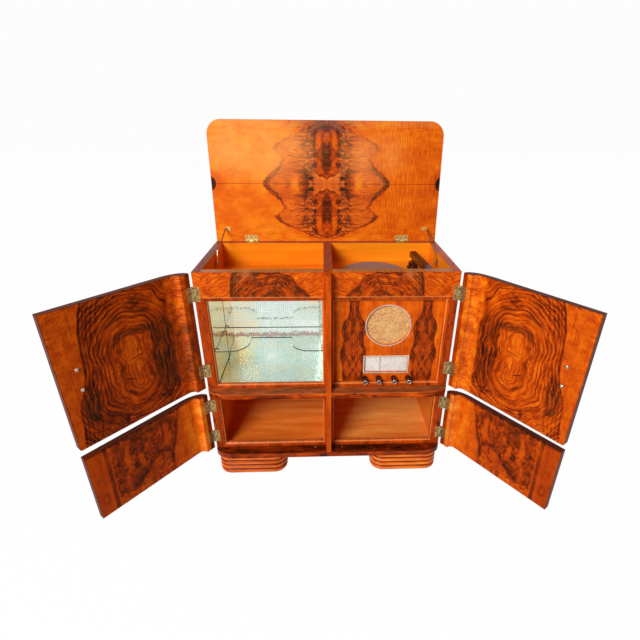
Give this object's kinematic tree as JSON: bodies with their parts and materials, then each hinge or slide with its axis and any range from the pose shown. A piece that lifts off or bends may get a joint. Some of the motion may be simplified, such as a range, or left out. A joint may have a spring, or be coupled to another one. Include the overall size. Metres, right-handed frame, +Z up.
{
  "type": "radio cocktail cabinet",
  "caption": "Walnut radio cocktail cabinet with lift-up lid over a record player, mirrored drinks niche, radio panel, bowed doors and reeded feet.",
  "frame": {"origin": "on the floor in the cabinet's middle plane, below the centre of the box that the opened cabinet fills, 55 mm behind the front face of the carcass", "axes": "+X to the right as seen from the front, +Y to the back, +Z up"},
  "size_m": [1.8589, 0.9581, 1.592],
  "materials": {
    "walnut_case": "high gloss",
    "walnut_door": "high gloss",
    "walnut_lid": "high gloss",
    "walnut_panel": "high gloss",
    "light_wood": "satin",
    "plywood": "matt",
    "mirror_mosaic": "mirror",
    "shelf_glass": "polished",
    "dial_glass": "polished",
    "dial_paper": "matt",
    "pointer_red": "satin",
    "speaker_cloth": "woven",
    "silver_ring": "polished",
    "black_steel": "satin",
    "chassis_steel": "plain",
    "valve_glass": "polished",
    "knob_brown": "gloss",
    "brass": "aged",
    "platter_metal": "satin",
    "mat_felt": "matt",
    "bakelite": "gloss",
    "bright_metal": "polished"
  },
  "bodies": {
    "cabinet": {"side_panel_left": "walnut_case", "side_panel_right": "walnut_case", "centre_post": "walnut_case", "bottom_board": "walnut_case", "mid_board": "walnut_case", "mid_rails": "walnut_case", "apron_left": "walnut_case", "apron_right": "walnut_case", "foot_left": "walnut_case", "foot_right": "walnut_case", "radio_panel": "walnut_panel", "niche_frame": "light_wood", "radio_frame": "light_wood", "lower_left_frame": "light_wood", "lower_right_frame": "light_wood", "upper_divider": "light_wood", "lower_divider": "light_wood", "top_back_rail": "light_wood", "left_well_floor": "light_wood", "motor_board": "light_wood", "niche_lining": "light_wood", "back_panel": "plywood", "niche_mirrors": "mirror_mosaic", "glass_shelf": "shelf_glass", "dial_glass": "dial_glass", "dial_scale": "dial_paper", "speaker_cloth": "speaker_cloth", "speaker_ring": "silver_ring", "speaker_driver": "black_steel", "gramophone_motor": "black_steel", "radio_chassis": "chassis_steel", "valves": "valve_glass", "case_hinge_leaves": "brass", "door_catches": "brass", "stay_case_brackets": "brass", "tonearm_base": "bakelite", "tonearm_rest": "bright_metal"},
    "lid": {"lid": "walnut_lid", "lid_fittings": "brass"},
    "stay_lower": {"stay_lower_links": "brass"},
    "stay_upper": {"stay_upper_links": "brass"},
    "upper_left_door": {"upper_left_door": "walnut_door", "upper_left_door_leaves": "brass", "upper_left_pull": "brass"},
    "upper_right_door": {"upper_right_door": "walnut_door", "upper_right_door_leaves": "brass", "upper_right_pull": "brass"},
    "lower_left_door": {"lower_left_door": "walnut_door", "lower_left_door_leaves": "brass"},
    "lower_right_door": {"lower_right_door": "walnut_door", "lower_right_door_leaves": "brass"},
    "platter": {"platter": "platter_metal", "platter_mat": "mat_felt"},
    "arm_turret": {"tonearm_turret": "bakelite"},
    "pickup_arm": {"tonearm": "bakelite"},
    "volume_knob": {"volume_knob": "knob_brown"},
    "tone_knob": {"tone_knob": "knob_brown"},
    "tuning_knob": {"tuning_knob": "knob_brown"},
    "band_knob": {"band_knob": "knob_brown"},
    "dial_pointer": {"dial_pointer": "pointer_red"}
  },
  "joints": [
    {"name": "lid_hinge", "type": "hinge", "parent": "cabinet", "child": "lid", "pos_m": [0, 0.418, 1.0405], "axis": [1, 0, 0], "range_deg": [0, 94.2]},
    {"name": "stay_case_pivot", "type": "hinge", "parent": "cabinet", "child": "stay_lower", "pos_m": [0, 0.205, 0.99], "axis": [1, 0, 0], "range_deg": [0, 62.02]},
    {"name": "stay_lid_pivot", "type": "hinge", "parent": "lid", "child": "stay_upper", "pos_m": [0, 0.41043, 1.10122], "axis": [1, 0, 0], "range_deg": [-113.06, 0]},
    {"name": "upper_left_door_hinge", "type": "hinge", "parent": "cabinet", "child": "upper_left_door", "pos_m": [-0.555, -0.0555, 0.48], "axis": [0, 0, 1], "range_deg": [-40.4, 129.6]},
    {"name": "upper_right_door_hinge", "type": "hinge", "parent": "cabinet", "child": "upper_right_door", "pos_m": [0.555, -0.0555, 0.48], "axis": [0, 0, 1], "range_deg": [-125.8, 44.2]},
    {"name": "lower_left_door_hinge", "type": "hinge", "parent": "cabinet", "child": "lower_left_door", "pos_m": [-0.555, -0.0555, 0.132], "axis": [0, 0, 1], "range_deg": [-41.3, 128.7]},
    {"name": "lower_right_door_hinge", "type": "hinge", "parent": "cabinet", "child": "lower_right_door", "pos_m": [0.555, -0.0555, 0.132], "axis": [0, 0, 1], "range_deg": [-126.4, 43.6]},
    {"name": "platter_spin", "type": "hinge", "parent": "cabinet", "child": "platter", "pos_m": [0.212, 0.15, 0.945], "axis": [0, 0, 1], "continuous": true},
    {"name": "arm_swing", "type": "hinge", "parent": "cabinet", "child": "arm_turret", "pos_m": [0.417, 0.273, 0.945], "axis": [0, 0, 1], "range_deg": [-52, 0]},
    {"name": "arm_lift", "type": "hinge", "parent": "arm_turret", "child": "pickup_arm", "pos_m": [0.417, 0.273, 1.005], "axis": [0.9948, 0.102, 0], "range_deg": [-30, 0]},
    {"name": "volume_knob_turn", "type": "hinge", "parent": "cabinet", "child": "volume_knob", "pos_m": [0.16795, -0.035, 0.513], "axis": [0, 1, 0], "range_deg": [-150, 150]},
    {"name": "tone_knob_turn", "type": "hinge", "parent": "cabinet", "child": "tone_knob", "pos_m": [0.23195, -0.035, 0.513], "axis": [0, 1, 0], "range_deg": [-150, 150]},
    {"name": "tuning_knob_turn", "type": "hinge", "parent": "cabinet", "child": "tuning_knob", "pos_m": [0.30295, -0.035, 0.513], "axis": [0, 1, 0], "range_deg": [-420, 800]},
    {"name": "band_knob_turn", "type": "hinge", "parent": "cabinet", "child": "band_knob", "pos_m": [0.36995, -0.035, 0.513], "axis": [0, 1, 0], "range_deg": [-45, 45]},
    {"name": "dial_pointer_slide", "type": "slide", "parent": "cabinet", "child": "dial_pointer", "axis": [1, 0, 0], "range_m": [-0.0612, 0.1148]}
  ],
  "couplings": [
    {"joint": "stay_case_pivot", "follows": "lid_hinge", "ratio": 0.65306},
    {"joint": "stay_lid_pivot", "follows": "lid_hinge", "ratio": -1.1949},
    {"joint": "dial_pointer_slide", "follows": "tuning_knob_turn", "m_per_rad": 0.0082}
  ]
}
